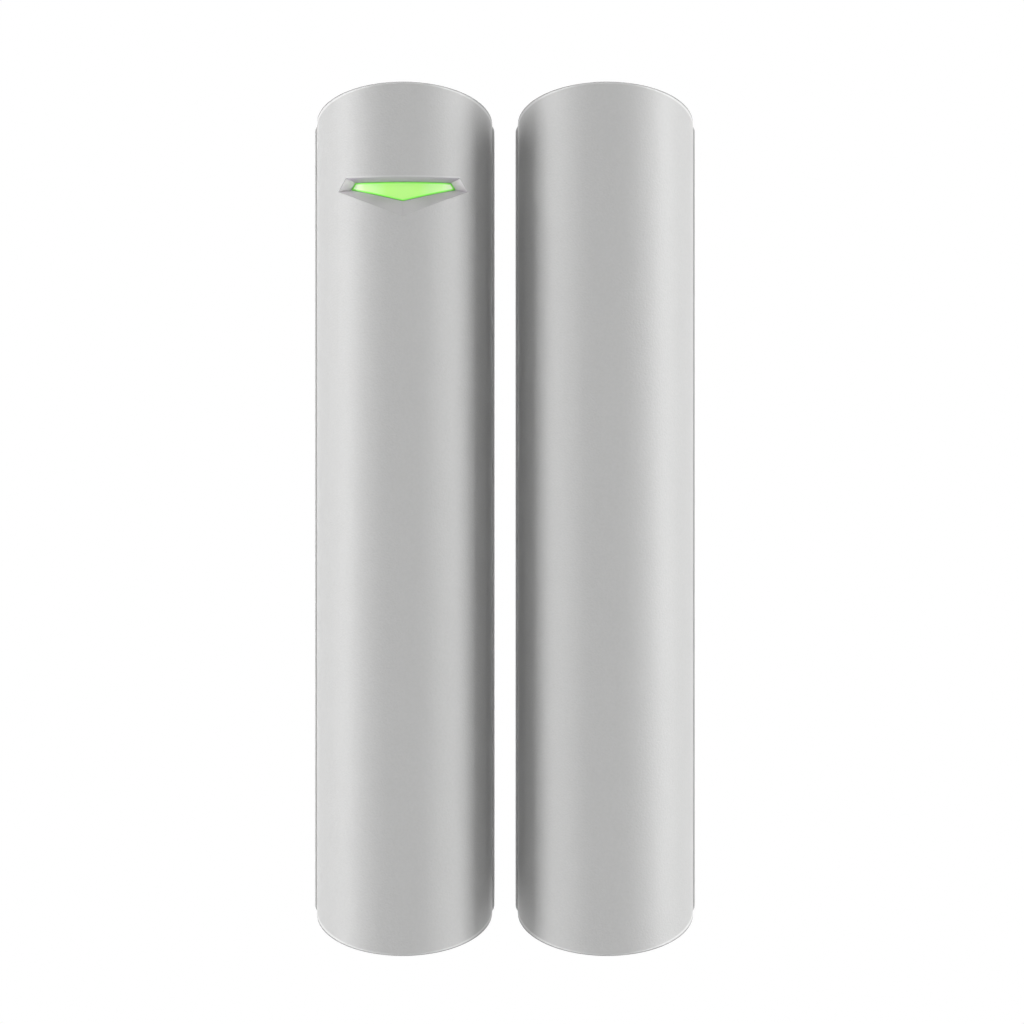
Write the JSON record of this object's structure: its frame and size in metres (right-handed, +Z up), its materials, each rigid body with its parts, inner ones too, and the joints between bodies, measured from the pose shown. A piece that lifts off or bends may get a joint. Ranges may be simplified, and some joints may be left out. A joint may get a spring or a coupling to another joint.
{
  "type": "wireless door sensor",
  "caption": "Slim upright magnetic door contact: a half-round reed-switch sensor with a lit indicator recess, and its matching magnet unit, each on a hooked wall plate.",
  "frame": {"origin": "middle of the wall face of the sensor's wall plate", "axes": "+Z up along the units, +Y into the wall, -Y the front, +X from the sensor to the magnet"},
  "size_m": [0.0412, 0.021, 0.093],
  "materials": {
    "housing_grey": "satin",
    "plate_grey": "satin",
    "light_guide_green": "gloss",
    "board_green": "satin",
    "screw_steel": "satin",
    "led_white": "gloss",
    "shield_steel": "satin",
    "contact_steel": "gloss",
    "chip_black": "matte",
    "capacitor_tan": "matte",
    "switch_black": "satin",
    "plunger_white": "satin",
    "terminal_grey": "satin",
    "battery_sleeve": "gloss",
    "reed_glass": "gloss",
    "magnet_ferrite": "matte"
  },
  "bodies": {
    "wall_plates": {"sensor_wall_plate": "plate_grey", "magnet_wall_plate": "plate_grey"},
    "sensor": {"sensor_front_cover": "housing_grey", "sensor_rear_cover": "housing_grey", "light_guide": "light_guide_green", "circuit_board": "board_green", "board_screws": "screw_steel", "indicator_led": "led_white", "radio_shield": "shield_steel", "radio_chip": "chip_black", "controller_chip": "chip_black", "crystal": "shield_steel", "capacitors": "capacitor_tan", "antenna": "contact_steel", "tamper_switch": "switch_black", "power_switch": "switch_black", "terminal_block": "terminal_grey", "battery_cell": "battery_sleeve", "battery_top_contact": "contact_steel", "battery_bottom_contact": "contact_steel", "battery_spring": "contact_steel", "reed_glass_outer": "reed_glass", "reed_leads_outer": "contact_steel", "reed_glass_inner": "reed_glass", "reed_leads_inner": "contact_steel"},
    "tamper_plunger": {"tamper_plunger": "plunger_white"},
    "power_button": {"power_button": "housing_grey", "power_switch_stem": "plunger_white"},
    "terminal_release_left": {"terminal_release_left": "plunger_white"},
    "terminal_release_right": {"terminal_release_right": "plunger_white"},
    "magnet": {"magnet_front_cover": "housing_grey", "magnet_rear_cover": "housing_grey", "bar_magnet": "magnet_ferrite"}
  },
  "joints": [
    {"name": "sensor_slide", "type": "slide", "parent": "wall_plates", "child": "sensor", "axis": [0, 0, 1], "range_m": [0, 0.004]},
    {"name": "magnet_slide", "type": "slide", "parent": "wall_plates", "child": "magnet", "axis": [0, 0, 1], "range_m": [0, 0.004]},
    {"name": "tamper_press", "type": "slide", "parent": "sensor", "child": "tamper_plunger", "axis": [0, -1, 0], "range_m": [0, 0.0005], "stiffness_N_per_m": 1500},
    {"name": "power_press", "type": "slide", "parent": "sensor", "child": "power_button", "axis": [0, -1, 0], "range_m": [0, 0.0004], "stiffness_N_per_m": 2500},
    {"name": "release_press_left", "type": "slide", "parent": "sensor", "child": "terminal_release_left", "axis": [0, -1, 0], "range_m": [0, 0.0006], "stiffness_N_per_m": 1500},
    {"name": "release_press_right", "type": "slide", "parent": "sensor", "child": "terminal_release_right", "axis": [0, -1, 0], "range_m": [0, 0.0006], "stiffness_N_per_m": 1500}
  ]
}
